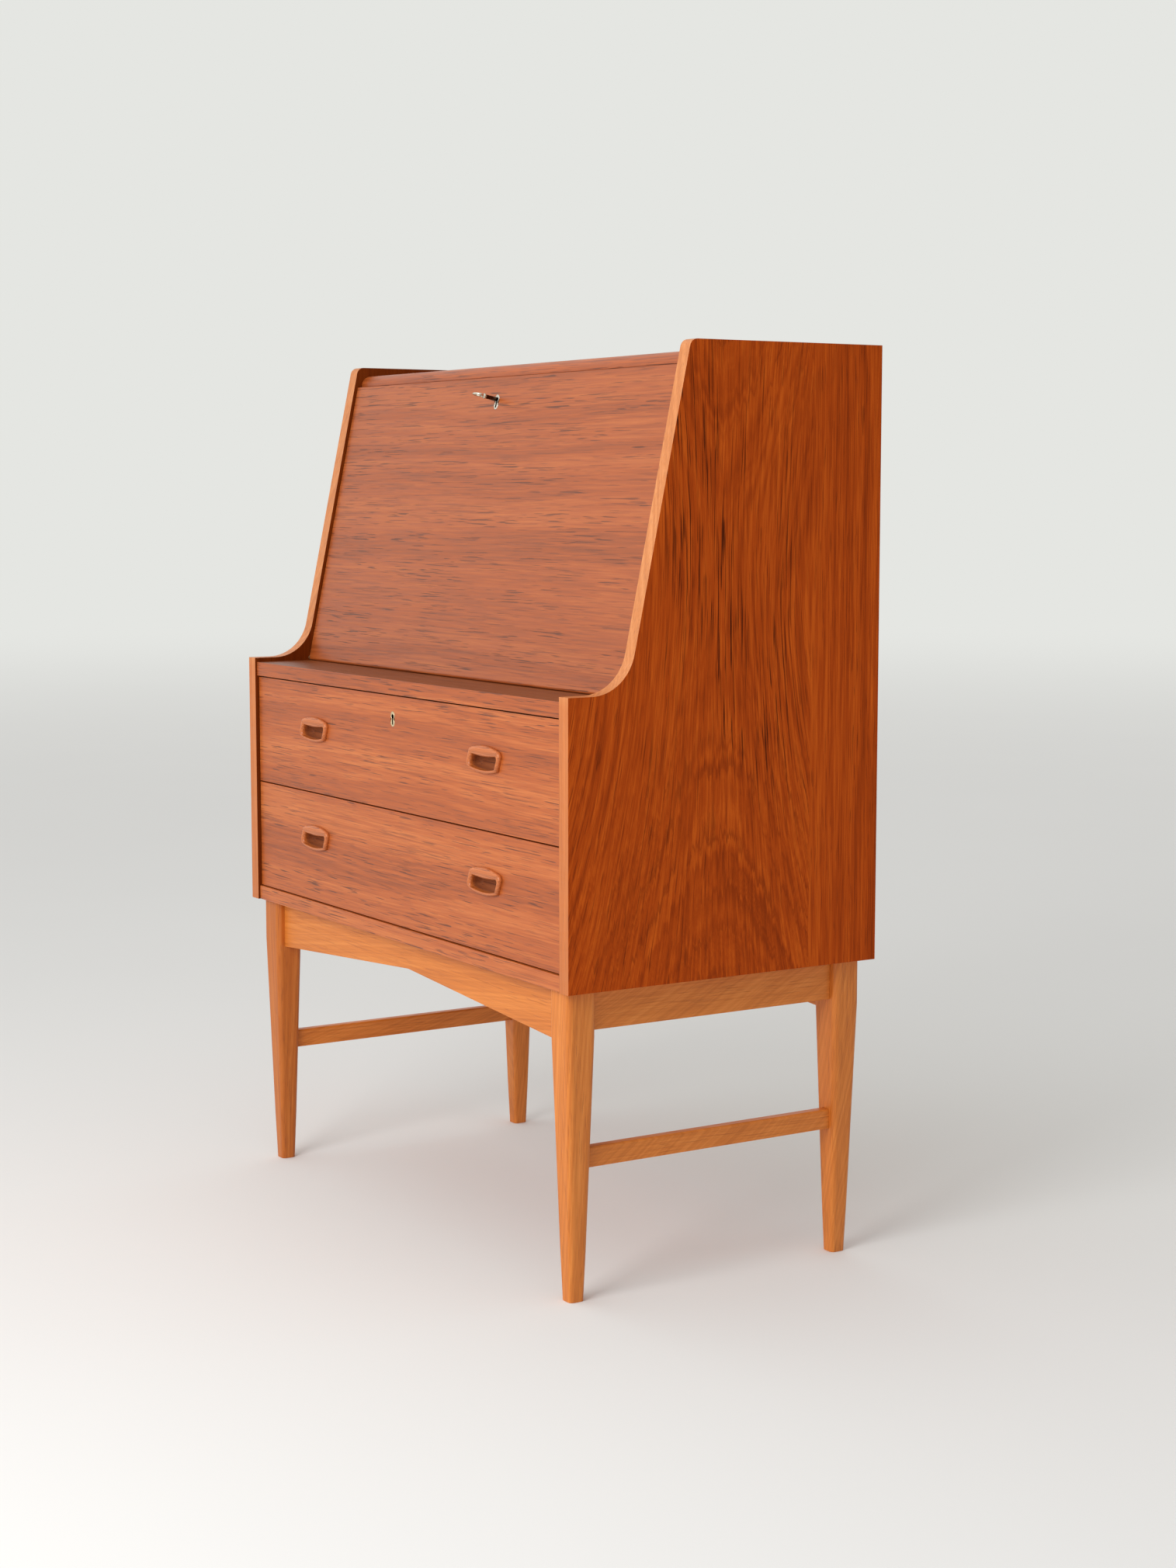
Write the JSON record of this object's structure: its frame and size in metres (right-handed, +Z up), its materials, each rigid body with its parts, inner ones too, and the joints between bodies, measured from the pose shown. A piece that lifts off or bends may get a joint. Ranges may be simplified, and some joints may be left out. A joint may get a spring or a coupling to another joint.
{
  "type": "secretary desk",
  "caption": "Raked-front secretary desk: a drop flap over a ledge, pigeonholes behind it, two full-width drawers with carved cup pulls, on a stand with tapered legs.",
  "frame": {"origin": "on the floor, midway between the side panels and midway between the front edge and the back edge of the case", "axes": "+X to the right as seen from the front, the front faces -Y, +Z up"},
  "size_m": [0.81, 0.42, 1.06],
  "materials": {
    "teak": "satin oiled teak veneer",
    "oak": "satin lacquered oak",
    "inner_wood": "plain matt softwood or beech",
    "plywood": "matt plywood",
    "brass": "aged brass",
    "steel": "worn nickelled steel"
  },
  "bodies": {
    "case": {"left_side_panel": "teak", "right_side_panel": "teak", "top_board": "teak", "desk_board": "teak", "bottom_board": "teak", "flap_stop_rail": "teak", "interior_shelf": "teak", "lower_divider_left": "teak", "lower_divider_right": "teak", "upper_divider_left": "teak", "upper_divider_right": "teak", "letter_shelf": "teak", "front_left_leg": "oak", "front_right_leg": "oak", "rear_left_leg": "oak", "rear_right_leg": "oak", "front_apron": "oak", "rear_apron": "oak", "left_apron": "oak", "right_apron": "oak", "left_stretcher": "oak", "right_stretcher": "oak", "upper_runner_left": "oak", "upper_runner_right": "oak", "lower_runner_left": "oak", "lower_runner_right": "oak", "front_left_corner_block": "inner_wood", "front_right_corner_block": "inner_wood", "rear_left_corner_block": "inner_wood", "rear_right_corner_block": "inner_wood", "back_panel": "plywood", "flap_strike_plate": "brass", "drawer_strike_plate": "brass", "flap_bush_left": "brass", "flap_bush_right": "brass"},
    "flap": {"flap_panel": "teak", "flap_pin_left": "brass", "flap_pin_right": "brass", "flap_escutcheon": "brass", "flap_lock_case": "steel"},
    "flap_bolt": {"flap_lock_bolt": "brass"},
    "key": {"flap_key": "steel"},
    "upper_drawer": {"upper_drawer_front": "teak", "upper_drawer_side_left": "inner_wood", "upper_drawer_side_right": "inner_wood", "upper_drawer_back": "inner_wood", "upper_drawer_bottom": "plywood", "upper_pull_left": "teak", "upper_pull_right": "teak", "drawer_escutcheon": "brass", "drawer_lock_case": "steel"},
    "drawer_bolt": {"drawer_lock_bolt": "brass"},
    "lower_drawer": {"lower_drawer_front": "teak", "lower_drawer_side_left": "inner_wood", "lower_drawer_side_right": "inner_wood", "lower_drawer_back": "inner_wood", "lower_drawer_bottom": "plywood", "lower_pull_left": "teak", "lower_pull_right": "teak"}
  },
  "joints": [
    {"name": "flap_hinge", "type": "hinge", "parent": "case", "child": "flap", "pos_m": [0, -0.12763, 0.6739], "axis": [1, 0, 0], "range_deg": [0, 102]},
    {"name": "key_turn", "type": "hinge", "parent": "flap", "child": "key", "pos_m": [-0.003, -0.0598, 1.00626], "axis": [0, -0.978, 0.2086], "range_deg": [0, 90]},
    {"name": "flap_bolt_throw", "type": "slide", "parent": "flap", "child": "flap_bolt", "axis": [0, 0.2086, 0.978], "range_m": [0, 0.009]},
    {"name": "upper_drawer_slide", "type": "slide", "parent": "case", "child": "upper_drawer", "axis": [0, -1, 0], "range_m": [0, 0.235]},
    {"name": "drawer_bolt_throw", "type": "slide", "parent": "upper_drawer", "child": "drawer_bolt", "axis": [0, 0, 1], "range_m": [0, 0.006]},
    {"name": "lower_drawer_slide", "type": "slide", "parent": "case", "child": "lower_drawer", "axis": [0, -1, 0], "range_m": [0, 0.3]}
  ],
  "couplings": [
    {"joint": "key_turn", "follows": "flap_bolt_throw", "rad_per_m": 174.5}
  ]
}
